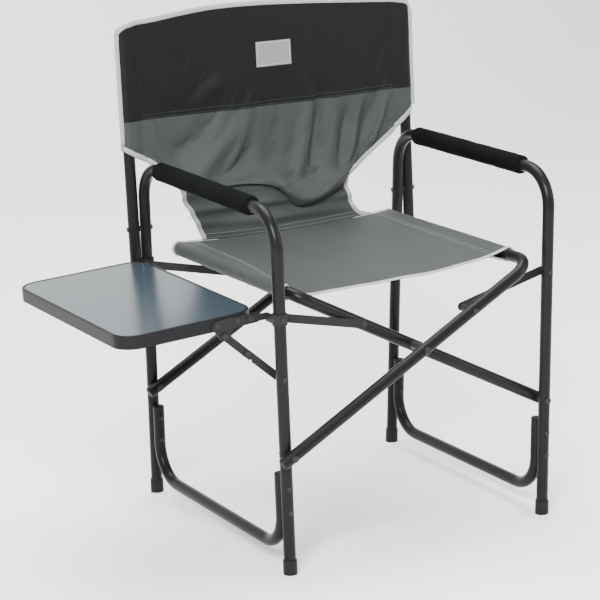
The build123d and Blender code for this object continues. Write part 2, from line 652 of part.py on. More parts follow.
def back_sling():
    """Back cloth: a sleeve on each post, an arched top and a lower part cut in to the waist."""
    inside = TUBE_R + SLEEVE_GAP
    outside = inside + CLOTH_T
    span = POST_X
    top = POST_TOP_Z + 3.0
    edge = Polyline((-span, BACK_LOW_Z), (-span, top))
    arch = ThreePointArc((-span, top), (0, top + BACK_RISE), (span, top))
    side = Polyline((span, top), (span, BACK_LOW_Z))
    low = WAIST_Z + WAIST_GAP
    curve_x, curve_z = BACK_CURVE
    cut_left = Spline((span, BACK_LOW_Z), (curve_x, curve_z), (WAIST_HALF, low))
    bottom = Line((WAIST_HALF, low), (-WAIST_HALF, low))
    cut_right = Spline((-WAIST_HALF, low), (-curve_x, curve_z), (-span, BACK_LOW_Z))
    flat = make_face([edge, arch, side, cut_left, bottom, cut_right])
    rake = math.degrees(math.atan(POST_RAKE))
    # the sheet lies against the front of the sleeves, leaning back with the posts
    sheet = Rot(90, 0, 0) * extrude(Pos(0, -BACK_LOW_Z) * flat, amount=CLOTH_T)
    front = post_y(BACK_LOW_Z) - inside
    sling = Pos(0, front, BACK_LOW_Z) * Rot(-rake, 0, 0) * sheet
    for side_sign in (RIGHT, LEFT):
        low = Vector(side_sign * POST_X, post_y(BACK_LOW_Z), BACK_LOW_Z)
        high = Vector(side_sign * POST_X, post_y(top), top)
        sling += rod(low, high, outside)
    for side_sign in (RIGHT, LEFT):
        low = Vector(side_sign * POST_X, post_y(300), 300)
        high = Vector(side_sign * POST_X, post_y(900), 900)
        sling -= rod(low, high, inside)
    return sling


# ---------------------------------------------------------------- build and write
def build():
    arms = frames()
    table_pieces()
    table_arms(arms)
    keep("arm_tube_right", arms[RIGHT])
    keep("arm_tube_left", arms[LEFT])
    keep("seat_sling", seat_sling())
    keep("back_sling", back_sling())


def middle():
    """Middle of the whole object's box, for the origin."""
    box = Compound([s for solids in PARTS.values() for s in solids]).bounding_box()
    return Vector((box.min.X + box.max.X) / 2, (box.min.Y + box.max.Y) / 2, 0)


build()
ORIGIN = middle()
os.makedirs("parts", exist_ok=True)
for node, solids in PARTS.items():
    bodies = [solid for piece in solids for solid in piece.solids()]
    placed = Pos(-ORIGIN.X, -ORIGIN.Y, 0) * Compound(bodies)
    export_step(placed, f"parts/{node}.step")
    print(f"{node}: {len(bodies)} solids")
print(f"origin at x {ORIGIN.X:.2f}, y {ORIGIN.Y:.2f} of the chair's own middle")
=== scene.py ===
# %% [markdown]
# A folding director chair with a side table. The steel frame comes ready made from the
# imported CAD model, and this lesson dresses it: cloth for the seat and back, foam for the
# arms, sewn binding and stitches, and a finish for every surface. All sizes are metres.

# %% Load the frame
import math

import bmesh
import bpy
from mathutils import Matrix, Vector, noise


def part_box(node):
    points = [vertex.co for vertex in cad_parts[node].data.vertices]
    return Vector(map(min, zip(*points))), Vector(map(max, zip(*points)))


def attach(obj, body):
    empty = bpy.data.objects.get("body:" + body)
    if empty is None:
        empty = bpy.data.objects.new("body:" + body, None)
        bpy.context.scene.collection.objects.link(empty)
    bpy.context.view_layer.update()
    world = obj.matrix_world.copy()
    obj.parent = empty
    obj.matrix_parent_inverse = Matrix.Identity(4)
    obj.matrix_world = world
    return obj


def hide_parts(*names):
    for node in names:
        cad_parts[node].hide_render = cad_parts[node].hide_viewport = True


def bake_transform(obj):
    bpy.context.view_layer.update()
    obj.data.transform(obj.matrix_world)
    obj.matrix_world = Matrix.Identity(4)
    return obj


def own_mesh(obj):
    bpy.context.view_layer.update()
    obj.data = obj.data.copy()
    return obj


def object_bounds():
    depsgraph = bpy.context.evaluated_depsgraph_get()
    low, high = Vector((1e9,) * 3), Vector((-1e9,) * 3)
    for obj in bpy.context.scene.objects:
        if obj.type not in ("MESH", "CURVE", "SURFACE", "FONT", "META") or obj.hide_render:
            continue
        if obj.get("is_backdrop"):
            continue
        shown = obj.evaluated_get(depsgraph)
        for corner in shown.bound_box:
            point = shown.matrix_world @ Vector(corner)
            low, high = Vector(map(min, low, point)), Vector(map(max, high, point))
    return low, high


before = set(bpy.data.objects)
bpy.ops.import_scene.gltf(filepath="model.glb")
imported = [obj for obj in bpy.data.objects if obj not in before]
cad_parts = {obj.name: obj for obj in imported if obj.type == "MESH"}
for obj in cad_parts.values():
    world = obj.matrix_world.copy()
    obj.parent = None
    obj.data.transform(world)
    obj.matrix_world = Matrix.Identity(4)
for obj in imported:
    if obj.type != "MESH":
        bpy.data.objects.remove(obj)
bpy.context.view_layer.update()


# %% [markdown]
# The cloth hangs on tubes, so its places come from the tubes. A node's box gives the
# outside of a tube; half a diameter further in is the line the tube follows.

# %% Places read from the frame
TUBE_R = 0.010
outer_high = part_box("outer_seat_frame")[1]
inner_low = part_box("inner_seat_frame")[0]
post_low, post_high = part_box("back_post_left")
post_right_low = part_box("back_post_right")[0]
sling_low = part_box("seat_sling")[0]

RAIL_LEFT_X = outer_high.x - TUBE_R
RAIL_RIGHT_X = inner_low.x + TUBE_R
RAIL_Z = outer_high.z - TUBE_R
MIDDLE_X = (RAIL_LEFT_X + RAIL_RIGHT_X) / 2
RAIL_HALF = (RAIL_LEFT_X - RAIL_RIGHT_X) / 2
POST_HALF = (post_high.x - post_right_low.x) / 2 - TUBE_R
POST_RAKE = (post_high.y - post_low.y - 2 * TUBE_R) / (post_high.z - post_low.z)
print(f"rails {2 * RAIL_HALF:.3f} apart at {RAIL_Z:.3f}, posts {2 * POST_HALF:.3f} apart")


def post_y(z):
    """Line of the back posts, leaning back as they rise."""
    return post_low.y + TUBE_R + POST_RAKE * (z - post_low.z)


# %% [markdown]
# Small helpers build every sewn piece. A sheet is a grid whose corners are worked out by
# a function, so wrinkles and sag are one formula. The UV map is in metres along the
# cloth, which lets one weave pattern fit every piece.

# %% Helpers for meshes
def new_object(name, data):
    thing = bpy.data.objects.new(name, data)
    bpy.context.scene.collection.objects.link(thing)
    return thing


def new_piece(name, corners, faces, uvs=None):
    mesh = bpy.data.meshes.new(name)
    mesh.from_pydata([tuple(c) for c in corners], [], faces)
    if uvs:
        layer = mesh.uv_layers.new(name="cloth")
        for loop in mesh.loops:
            layer.data[loop.index].uv = uvs[loop.vertex_index]
    mesh.shade_smooth()
    return new_object(name, mesh)


def grid_faces(across, along, closed=False):
    """Faces of a grid with across columns and along rows, numbered row by row."""
    faces = []
    for row in range(along - 1):
        for col in range(across if closed else across - 1):
            right = (col + 1) % across
            base, above = row * across, (row + 1) * across
            faces.append((base + col, base + right, above + right, above + col))
    return faces


def settle(piece):
    """Turn a piece with modifiers into its plain final mesh."""
    depsgraph = bpy.context.evaluated_depsgraph_get()
    final = bpy.data.meshes.new_from_object(piece.evaluated_get(depsgraph))
    piece.modifiers.clear()
    old = piece.data
    piece.data = final
    bpy.data.meshes.remove(old)
    return piece


def outwards(piece):
    """Make every face of a closed piece point outwards."""
    work = bmesh.new()
    work.from_mesh(piece.data)
    bmesh.ops.recalc_face_normals(work, faces=work.faces)
    work.to_mesh(piece.data)
    work.free()
    return piece


def smoothstep(low, high, value):
    share = min(1.0, max(0.0, (value - low) / (high - low)))
    return share * share * (3 - 2 * share)


def lerp(a, b, share):
    return a + (b - a) * share


def metres(points):
    """Pairs of millimetres as pairs of metres."""
    return [(a / 1000, b / 1000) for a, b in points]


def ripple(x, y, z, scale, seed):
    """Smooth noise from -1 to 1 that changes over about one scale."""
    return noise.noise(Vector((x / scale + seed, y / scale, z / scale)))


print("helpers ready")


# %% [markdown]
# Shader groups hold what several finishes share. The weave makes threads that go over
# and under each other. The mottle is a slow cloud of lighter and darker patches. The
# grain is the fine skin of paint and moulded plastic. Each is built once. Two helpers,
# feed and add_node, make a node and fill its inputs in one line.

# %% Shader groups
def feed(tree, node, **inputs):
    """Give each named input of a node a link, when the value is a socket, or a number."""
    for title, value in inputs.items():
        socket = node.inputs[title.replace("_", " ")]
        if isinstance(value, bpy.types.NodeSocket):
            tree.links.new(value, socket)
        else:
            socket.default_value = value
    return node


def add_node(tree, kind, **inputs):
    return feed(tree, tree.nodes.new(kind), **inputs)


def math_node(tree, operation, *values):
    node = tree.nodes.new("ShaderNodeMath")
    node.operation = operation
    for socket, value in zip(node.inputs, values):
        if isinstance(value, (int, float)):
            socket.default_value = value
        else:
            tree.links.new(value, socket)
    return node.outputs[0]


def new_sockets(tree, way, sockets):
    """Sockets of a node group, from (name, kind, value) rows; value None keeps the default."""
    for title, kind, value in sockets:
        socket = tree.interface.new_socket(
            name=title, in_out=way, socket_type="NodeSocket" + kind)
        if value is not None:
            socket.default_value = value


def shader_group(name, inputs, outputs):
    """Group with a Vector input, float inputs from a dict, and float outputs."""
    group = bpy.data.node_groups.new(name, "ShaderNodeTree")
    new_sockets(group, "INPUT", [("Vector", "Vector", None)]
                + [(title, "Float", value) for title, value in inputs.items()])
    new_sockets(group, "OUTPUT", [(title, "Float", None) for title in outputs])
    start, end = add_node(group, "NodeGroupInput"), add_node(group, "NodeGroupOutput")
    return group, start.outputs, end


def make_weave():
    """Plain weave in the cloth's own UV map: one thread each pitch, both ways."""
    group, given, end = shader_group("weave", {"Pitch": 0.0009}, ("Height", "Shade"))
    split = add_node(group, "ShaderNodeSeparateXYZ", Vector=given["Vector"])
    waves = []
    for axis in ("X", "Y"):
        turns = math_node(group, "DIVIDE", split.outputs[axis], given["Pitch"])
        waves.append(math_node(group, "SINE", math_node(group, "MULTIPLY", turns, math.pi)))
    crossing = math_node(group, "MULTIPLY", *waves)
    feed(group, end, Height=math_node(group, "MULTIPLY_ADD", crossing, 0.5, 0.5),
         Shade=math_node(group, "MULTIPLY_ADD", crossing, 0.12, 0.9))
    return group


def make_mottle():
    """Slow patches of light and dark, from 1 - Amount to 1 + Amount."""
    group, given, end = shader_group("mottle", {"Scale": 9.0, "Amount": 0.1}, ("Shade",))
    cloud = add_node(group, "ShaderNodeTexNoise", Vector=given["Vector"],
                     Scale=given["Scale"], Detail=4.0, Roughness=0.55)
    centred = math_node(group, "SUBTRACT", cloud.outputs["Fac"], 0.5)
    doubled = math_node(group, "MULTIPLY", centred, 2.0)
    part = math_node(group, "MULTIPLY", doubled, given["Amount"])
    feed(group, end, Shade=math_node(group, "ADD", part, 1.0))
    return group


def make_grain():
    """Fine skin of paint or plastic, with a few rubbed spots picked out as a mask."""
    group, given, end = shader_group("grain", {"Scale": 900.0, "Wear": 0.3}, ("Height", "Worn"))
    skin = add_node(group, "ShaderNodeTexNoise", Vector=given["Vector"], Scale=given["Scale"],
                    Detail=2.0)
    spots = add_node(group, "ShaderNodeTexNoise", Vector=given["Vector"], Scale=38.0,
                     Detail=6.0, Roughness=0.72)
    edge = math_node(group, "SUBTRACT", spots.outputs["Fac"], 0.66)
    strong = math_node(group, "MULTIPLY", edge, 14.0)
    strong.node.use_clamp = True
    feed(group, end, Height=skin.outputs["Fac"],
         Worn=math_node(group, "MULTIPLY", strong, given["Wear"]))
    return group


WEAVE, MOTTLE, GRAIN = make_weave(), make_mottle(), make_grain()
print("shader groups", WEAVE.name, MOTTLE.name, GRAIN.name)


# %% [markdown]
# A finish starts as an empty Principled material. Numbers that are the same all over sit
# on the shader's own sockets. Only colours, roughness and bumps that change over the
# surface are linked.

# %% Helpers for finishes
def start_finish(name, roughness, metallic=0.0, **sockets):
    finish = bpy.data.materials.new(name)
    finish.use_nodes = True
    shader = finish.node_tree.nodes["Principled BSDF"]
    feed(finish.node_tree, shader, Roughness=roughness, Metallic=metallic, **sockets)
    return finish, finish.node_tree, shader


def place_group(tree, group, vector, **values):
    node = tree.nodes.new("ShaderNodeGroup")
    node.node_tree = group
    return feed(tree, node, Vector=vector, **values)


def mixed(tree, first, second, factor=1.0, blend="MIX"):
    """Two colours mixed; a colour is three numbers or a socket."""
    mix = tree.nodes.new("ShaderNodeMix")
    mix.data_type, mix.blend_type = "RGBA", blend
    first, second = ((*c, 1.0) if isinstance(c, tuple) else c for c in (first, second))
    return feed(tree, mix, Factor=factor, A=first, B=second).outputs["Result"]


def shaded(tree, colour, *shades):
    """Colour multiplied by one or more grey shades."""
    for shade in shades:
        colour = mixed(tree, colour, shade, blend="MULTIPLY")
    return colour


def bump(tree, shader, height, distance, strength):
    node = add_node(tree, "ShaderNodeBump", Distance=distance, Strength=strength, Height=height)
    feed(tree, shader, Normal=node.outputs[0])


def spread(tree, value, low, high):
    """Map a 0 to 1 value onto a range."""
    return add_node(tree, "ShaderNodeMapRange", Value=value, To_Min=low, To_Max=high).outputs[0]


def in_space(tree):
    return tree.nodes.new("ShaderNodeTexCoord").outputs["Object"]


def on_cloth(tree):
    node = tree.nodes.new("ShaderNodeUVMap")
    node.uv_map = "cloth"
    return node.outputs[0]


# %% [markdown]
# The cloth is a coated polyester with a tight plain weave and a soft sheen. The seat and
# lower back are mid grey, the upper back is charcoal, and the binding is a pale tape
# with fine ribs.

# %% Cloth finishes
def make_cloth(name, colour, roughness, pitch, sheen):
    finish, tree, shader = start_finish(
        name, roughness, Sheen_Weight=sheen, Sheen_Roughness=0.45, Specular_IOR_Level=0.12)
    weave = place_group(tree, WEAVE, on_cloth(tree), Pitch=pitch)
    slow = place_group(tree, MOTTLE, in_space(tree), Scale=7.0, Amount=0.10)
    quick = place_group(tree, MOTTLE, in_space(tree), Scale=260.0, Amount=0.10)
    feed(tree, shader, Base_Color=shaded(tree, colour, weave.outputs["Shade"],
                                         slow.outputs["Shade"], quick.outputs["Shade"]))
    bump(tree, shader, weave.outputs["Height"], 0.00022, 0.7)
    return finish


GREY_CLOTH = make_cloth("grey_polyester", (0.039, 0.0433, 0.0433), 0.60, 0.0009, 0.03)
CHARCOAL_CLOTH = make_cloth("charcoal_polyester", (0.0050, 0.0058, 0.0060), 0.55, 0.0009, 0.01)
BINDING_TAPE = make_cloth("pale_binding_tape", (0.33, 0.34, 0.32), 0.75, 0.0007, 0.15)
print("cloth finishes", GREY_CLOTH.name, CHARCOAL_CLOTH.name, BINDING_TAPE.name)


# %% [markdown]
# The tubes are powder coated in dark graphite. Powder paint has a fine orange-peel skin
# and rubs a little lighter where hands and ground touch it. Moulded feet and plugs are
# rougher and have no metal in them.

# %% Paint, plastic and metal finishes
def make_skin(name, colour, worn, roughness, scale, depth, wear, metallic=0.0, **sockets):
    finish, tree, shader = start_finish(name, roughness, metallic, **sockets)
    space = in_space(tree)
    grain = place_group(tree, GRAIN, space, Scale=scale, Wear=wear)
    slow = place_group(tree, MOTTLE, space, Scale=14.0, Amount=0.09)
    tint = shaded(tree, colour, slow.outputs["Shade"])
    feed(tree, shader, Base_Color=mixed(tree, tint, worn, grain.outputs["Worn"]),
         Roughness=spread(tree, grain.outputs["Height"], roughness - 0.07, roughness + 0.07))
    bump(tree, shader, grain.outputs["Height"], depth, 0.6)
    return finish


TUBE_PAINT = make_skin("graphite_powder_paint", (0.0075, 0.0075, 0.0080), (0.03, 0.03, 0.03),
                       0.30, 700.0, 0.00012, 0.25, Specular_IOR_Level=0.11)
BRACKET_PAINT = make_skin("black_bracket_paint", (0.014, 0.014, 0.015), (0.08, 0.08, 0.08),
                          0.42, 900.0, 0.00010, 0.4, Specular_IOR_Level=0.10)
BLACK_PLASTIC = make_skin("black_moulded_plastic", (0.010, 0.010, 0.011), (0.04, 0.04, 0.04),
                          0.55, 1400.0, 0.00012, 0.3, Specular_IOR_Level=0.12)
RIM_PLASTIC = make_skin("table_rim_plastic", (0.008, 0.008, 0.009), (0.03, 0.03, 0.03),
                        0.40, 1100.0, 0.00006, 0.2, Specular_IOR_Level=0.10)
RIVET_STEEL = make_skin("blackened_rivet_steel", (0.022, 0.022, 0.023), (0.10, 0.10, 0.10),
                        0.38, 600.0, 0.00008, 0.6, metallic=0.3, Specular_IOR_Level=0.15)


# %% [markdown]
# The arm sleeves are closed-cell foam: near black, dull, and full of tiny open cells.
# The table top is a laminate board, blue grey, nearly smooth, with a clear gloss and a
# faint speckle.

# %% Foam and laminate finishes
def make_foam():
    finish, tree, shader = start_finish("black_foam", 0.85, Specular_IOR_Level=0.03)
    space = in_space(tree)
    cells = add_node(tree, "ShaderNodeTexVoronoi", Vector=space, Scale=620.0)
    slow = place_group(tree, MOTTLE, space, Scale=30.0, Amount=0.18)
    feed(tree, shader,
         Base_Color=shaded(tree, (0.0035, 0.0040, 0.0043), slow.outputs["Shade"]))
    bump(tree, shader, cells.outputs["Distance"], 0.0005, 0.8)
    return finish


def make_laminate():
    finish, tree, shader = start_finish(
        "blue_grey_laminate", 0.26, Coat_Weight=0.08, Coat_Roughness=0.14,
        Specular_IOR_Level=0.35)
    space = in_space(tree)
    speckle = add_node(tree, "ShaderNodeTexNoise", Vector=space, Scale=420.0,
                       Detail=3.0).outputs["Fac"]
    slow = place_group(tree, MOTTLE, space, Scale=5.0, Amount=0.05)
    feed(tree, shader,
         Base_Color=shaded(tree, (0.020, 0.032, 0.040), slow.outputs["Shade"],
                           spread(tree, speckle, 0.86, 1.14)),
         Roughness=spread(tree, speckle, 0.20, 0.30))
    bump(tree, shader, speckle, 0.00005, 0.5)
    return finish


FOAM, LAMINATE = make_foam(), make_laminate()
print("finishes", [m.name for m in bpy.data.materials])


# %% [markdown]
# The CAD pieces keep their shape and only change their finish. Each node is named after
# what it is, so the start of its name picks the material.

# %% Dress the CAD pieces
FINISH_STARTS = (
    (BLACK_PLASTIC, ("base_tube_plugs", "foot_caps", "post_plugs", "outer_frame_plugs",
                     "inner_frame_plugs")),
    (TUBE_PAINT, ("arm_tube", "base_tube", "back_post", "outer_seat", "inner_seat")),
    (BRACKET_PAINT, ("link_right", "link_left", "strut_upper", "strut_lower",
                     "table_brackets", "table_collars")),
    (RIM_PLASTIC, ("table_rim",)), (LAMINATE, ("table_board",)))


def dress(name, piece):
    finish = next((m for m, starts in FINISH_STARTS if name.startswith(starts)), RIVET_STEEL)
    piece.data.materials.clear()
    piece.data.materials.append(finish)
    return finish.name


dressed = {name: dress(name, piece) for name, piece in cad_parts.items()}
print("dressed", len(dressed), "CAD pieces")


# %% [markdown]
# A sewn sheet is a grid of points on the middle of the cloth. Its faces lie half a
# thickness in front and behind, along shared directions, so pieces cut from one grid
# still meet without a step where their colours change.

# %% Sheets cut from one grid
CLOTH_T = 0.0012
SLEEVE_R = TUBE_R + 0.0011


def grid_normals(grid):
    """Direction across the cloth at every grid point, from its neighbours."""
    normals = []
    for r, row in enumerate(grid):
        above, below = grid[min(r + 1, len(grid) - 1)], grid[max(r - 1, 0)]
        normals.append([
            (row[min(c + 1, len(row) - 1)] - row[max(c - 1, 0)]).cross(
                above[c] - below[c]).normalized() for c in range(len(row))])
    return normals


def sheet_piece(name, grid, normals, rows, cols, finish):
    """Closed sheet made of the given rows and columns of a grid, both ends included."""
    (r0, r1), (c0, c1) = rows, cols
    across, along = c1 - c0 + 1, r1 - r0 + 1
    corners, uvs, shading = [], [], []
    for side in (1, -1):
        for r in range(r0, r1 + 1):
            run = 0.0
            for c in range(c0, c1 + 1):
                point, normal = grid[r][c], normals[r][c]
                run += (point - grid[r][c - 1]).length if c > c0 else 0.0
                corners.append(point + normal * (side * CLOTH_T / 2))
                uvs.append((run, point.z if abs(normal.z) < 0.7 else point.y))
                shading.append(normal * side)
    back = across * along
    faces = grid_faces(across, along)
    faces += [tuple(back + k for k in reversed(face)) for face in faces]
    ring = [k for k in range(across)] + [r * across + across - 1 for r in range(1, along)]
    ring += [(along - 1) * across + k for k in range(across - 2, -1, -1)]
    ring += [r * across for r in range(along - 2, 0, -1)]
    for first, second in zip(ring, ring[1:] + ring[:1]):
        faces.append((second, first, back + first, back + second))
    piece = new_piece(name, corners, faces, uvs)
    piece.data.normals_split_custom_set_from_vertices(shading)
    piece.data.materials.append(finish)
    return piece


def through_points(table, x):
    """Smooth curve through a table of (x, value) points."""
    index = max(0, min(len(table) - 2, sum(1 for t in table if t[0] <= x) - 1))
    (x0, v0), (x1, v1) = table[index], table[index + 1]
    before, after = table[max(index - 1, 0)], table[min(index + 2, len(table) - 1)]
    slope0 = (v1 - before[1]) / (x1 - before[0]) * (x1 - x0)
    slope1 = (after[1] - v0) / (after[0] - x0) * (x1 - x0)
    t = min(1.0, max(0.0, (x - x0) / (x1 - x0)))
    return ((2 * t ** 3 - 3 * t ** 2 + 1) * v0 + (t ** 3 - 2 * t ** 2 + t) * slope0
            + (3 * t ** 2 - 2 * t ** 3) * v1 + (t ** 3 - t ** 2) * slope1)


# %% [markdown]
# The seat is one sheet with a sleeve along each side. Seen from the front its section
# goes round the right rail, over its top, sags across to the left rail and goes round
# that. The front edge hangs lowest, and a table gives its shape.

# %% Seat cloth
SEAT_FRONT_Y = sling_low.y
SEAT_REAR_Y = SEAT_FRONT_Y + 0.383
FRONT_SAG, MIDDLE_SAG, REAR_SAG = 0.0225, 0.004, 0.009
FRONT_BOW = 0.006        # the front edge bows back a little between the rails
SLEEVE_HEM = 0.034
# share of the sag along the front edge, from the right rail at -1 to the left at 1
FRONT_HANG = [(-1.0, 0.0), (-0.96, 0.45), (-0.87, 0.88), (-0.54, 1.0), (0.0, 1.0),
              (0.455, 0.86), (0.80, 0.48), (1.0, 0.0)]


def seat_height(x, y):
    """Middle of the seat cloth: a sling between the rails, with soft creases."""
    across = (x - MIDDLE_X) / RAIL_HALF
    share = (y - SEAT_FRONT_Y) / (SEAT_REAR_Y - SEAT_FRONT_Y)
    sag = lerp(FRONT_SAG, REAR_SAG, smoothstep(0.0, 1.0, share))
    sag += MIDDLE_SAG * math.sin(math.pi * share)
    even = 1 - min(1.0, abs(across)) ** 2.1
    hang = lerp(through_points(FRONT_HANG, across), even, smoothstep(0.0, 0.55, share))
    creases = 0.0014 * ripple(x, y * 0.35, 0.0, 0.045, 3.0) * hang
    pucker = 0.0007 * math.sin(y * 420) * math.exp(-((abs(across) - 0.86) / 0.06) ** 2)
    return RAIL_Z + SLEEVE_R - sag * hang + creases + pucker


def seat_section(y):
    """Points of the seat cloth from hem to hem at one place along the rails."""
    halves = []
    for side, rail_x in ((-1, RAIL_RIGHT_X), (1, RAIL_LEFT_X)):
        half = []
        hem_x = rail_x - side * SLEEVE_HEM
        hem_z = seat_height(hem_x, y) - 1.6 * CLOTH_T
        low = Vector((rail_x, y, RAIL_Z - SLEEVE_R))
        for step in range(6):
            half.append(Vector((hem_x, y, hem_z)).lerp(low, step / 6))
        for step in range(15):
            angle = math.radians(-90 + 180 * step / 14)
            loose = SLEEVE_R + 0.0006 * (1 + ripple(rail_x, y, angle * 0.02, 0.02, 9.0))
            half.append(Vector((rail_x + side * loose * math.cos(angle), y,
                                RAIL_Z + loose * math.sin(angle))))
        halves.append(half)
    across = [Vector((x, y, seat_height(x, y)))
              for x in (lerp(RAIL_RIGHT_X, RAIL_LEFT_X, k / 74) for k in range(1, 74))]
    return halves[0] + across + halves[1][::-1]


SEAT_ROWS = 62
seat_rows = []
for row in range(SEAT_ROWS):
    section = seat_section(lerp(SEAT_FRONT_Y, SEAT_REAR_Y, row / (SEAT_ROWS - 1)))
    bow = FRONT_BOW * (1 - row / (SEAT_ROWS - 1)) ** 3
    for point in section:
        point.y += bow * (1 - ((point.x - MIDDLE_X) / RAIL_HALF) ** 2)
    seat_rows.append(section)
seat_cloth = sheet_piece("seat_cloth", seat_rows, grid_normals(seat_rows), (0, SEAT_ROWS - 1),
                         (0, len(seat_rows[0]) - 1), GREY_CLOTH)
print("seat cloth", len(seat_cloth.data.vertices), "corners")


# %% [markdown]
# The back is cut with an arched top, straight sides on the posts and a lower part that
# narrows to a waist. Tables of points give its outline, in mm from the middle of
# the chair. A colour seam runs level across it, and one row of the grid is that seam.

# %% Outline of the back
BAND_Z = 0.681
SLEEVE_SEAM = 0.030      # a sleeve is sewn down this far inside its post
SLEEVE_INSIDE = POST_HALF - SLEEVE_SEAM
WAIST_RIGHT, WAIST_LEFT = -0.191, 0.143
TOP_EDGE = metres([(-296, 826), (-288, 842), (-264, 849), (-226, 853), (-149, 861), (-71, 864),
                   (0, 863), (69, 859), (150, 853), (235, 846), (284, 839), (296, 826)])
LOW_EDGE = metres([(-298, 641), (-287, 630), (-245, 606), (-215, 579), (-191, 553), (-120, 551),
                   (-60, 549), (-10, 536), (22, 503), (45, 497), (75, 505), (112, 522),
                   (143, 541), (186, 569), (219, 588), (253, 609), (276, 629), (298, 648)])


def back_top(x):
    return through_points(TOP_EDGE, x)


def back_bottom(x):
    return through_points(LOW_EDGE, x)


LOWER_ROWS, UPPER_ROWS, BACK_COLUMNS = 60, 50, 161


def back_heights(x):
    """Heights of the grid rows at x, with one row exactly on the colour seam."""
    low, top = back_bottom(x), back_top(x)
    lower = [lerp(low, BAND_Z, k / LOWER_ROWS) for k in range(LOWER_ROWS)]
    return lower + [lerp(BAND_Z, top, k / UPPER_ROWS) for k in range(UPPER_ROWS + 1)]


print("back from", back_bottom(0.0), "to", back_top(0.0))


# %% [markdown]
# The panel between the sleeves is real cloth with a little too much length in it, so it
# wrinkles. Long folds run up from the waist, where the flap pulls, and a roll hangs over
# the flap. Each fold is a line of points with a width and a depth. Blender's cloth
# solver then lets the sheet buckle and settle around them.

# %% Back panel before it settles
# each fold in mm: points (x, z) from low to high, half width, depth (negative is forward)
LONG_FOLDS = [
    ([(35, 535), (61, 630), (85, 715)], 12, -8.5),
    ([(66, 540), (84, 630), (112, 700)], 11, 8),
    ([(98, 545), (112, 620), (140, 690)], 13, -6),
    ([(124, 552), (140, 620), (168, 680)], 9, 6),
    ([(142, 560), (163, 625), (200, 700)], 10, -7.5),
    ([(168, 570), (190, 625), (232, 690)], 10, 6),
    ([(190, 583), (218, 630), (268, 690)], 10, -6),
    ([(-20, 545), (0, 620), (20, 690)], 20, 5),
    ([(-175, 570), (-110, 615), (-45, 665)], 17, -7.5),
    ([(-215, 600), (-156, 640), (-85, 685)], 15, 6.5),
    ([(-140, 562), (-70, 590), (-10, 640)], 16, 5),
    ([(-150, 700), (-115, 722), (-80, 745)], 14, -4.5),
    ([(10, 715), (50, 733), (95, 742)], 15, 4),
    ([(190, 695), (240, 722), (285, 750)], 18, -4.5),
    ([(-250, 760), (-200, 775), (-120, 772)], 20, 3.5),
    ([(-95, 690), (-60, 705), (-20, 712)], 10, 3.5),
]


def fold_depth(x, z, points, width, depth):
    """Depth of one long fold at a place on the panel: a soft ridge along its line."""
    nearest, share_best = 1.0, 0.0
    for index, ((ax, az), (bx, bz)) in enumerate(zip(points, points[1:])):
        run_x, run_z = bx - ax, bz - az
        share = ((x - ax) * run_x + (z - az) * run_z) / (run_x ** 2 + run_z ** 2)
        share = min(1.0, max(0.0, share))
        gap = math.hypot(x - ax - run_x * share, z - az - run_z * share)
        if gap < nearest:
            nearest, share_best = gap, (index + share) / (len(points) - 1)
    fade = smoothstep(-0.1, 0.25, share_best) * smoothstep(1.1, 0.6, share_best)
    return depth * fade * math.exp(-(nearest / width) ** 2)


def back_rest_y(x, z):
    """Where the panel would lie if it had no slack."""
    pulled = smoothstep(0.645, 0.52, z)
    straight = post_y(max(z, 0.60)) - 0.005
    return straight - 0.017 * pulled - 0.004 * math.cos(x / POST_HALF * math.pi / 2)


def roll_depth(x, z):
    """The panel bulges forward over the flap, most where it hangs lowest."""
    above = z - back_bottom(x)
    strength = 0.35 + 0.65 * smoothstep(-0.06, 0.03, x)
    bulge = math.exp(-((above - 0.020) / 0.020) ** 2)
    inside = smoothstep(WAIST_RIGHT, WAIST_RIGHT + 0.05, x) * smoothstep(
        WAIST_LEFT + 0.01, WAIST_LEFT - 0.04, x)
    return -0.017 * strength * bulge * inside - 0.006 * inside * smoothstep(0.05, 0.0, above)


def panel_depth(x, z):
    folds = sum(fold_depth(x, z, metres(line), width / 1000, depth / 1000)
                for line, width, depth in LONG_FOLDS)
    broad = 0.007 * ripple(x, z, 0.0, 0.17, 5.0) + 0.0035 * ripple(x, z, 0.0, 0.07, 8.0)
    small = 0.0012 * ripple(x, z, 0.0, 0.028, 15.0)
    return 1.25 * folds + roll_depth(x, z) + broad + small


columns = [SLEEVE_INSIDE * (2 * k / (BACK_COLUMNS - 1) - 1) for k in range(BACK_COLUMNS)]
heights = [back_heights(x) for x in columns]
BACK_ROWS = LOWER_ROWS + UPPER_ROWS + 1
panel = []
for row in range(BACK_ROWS):
    line = []
    for x, column in zip(columns, heights):
        z = column[row]
        held = smoothstep(0.0, 0.035, SLEEVE_INSIDE - abs(x))
        line.append(Vector((MIDDLE_X + x, back_rest_y(x, z) + panel_depth(x, z) * held, z)))
    panel.append(line)
print("panel", BACK_ROWS, "rows of", BACK_COLUMNS)


# %% Let the panel settle
def pin_weight(x, row):
    if abs(x) > SLEEVE_INSIDE - 0.001:
        return 1.0
    return {0: 0.85, BACK_ROWS - 1: 0.7}.get(row, 0.0)


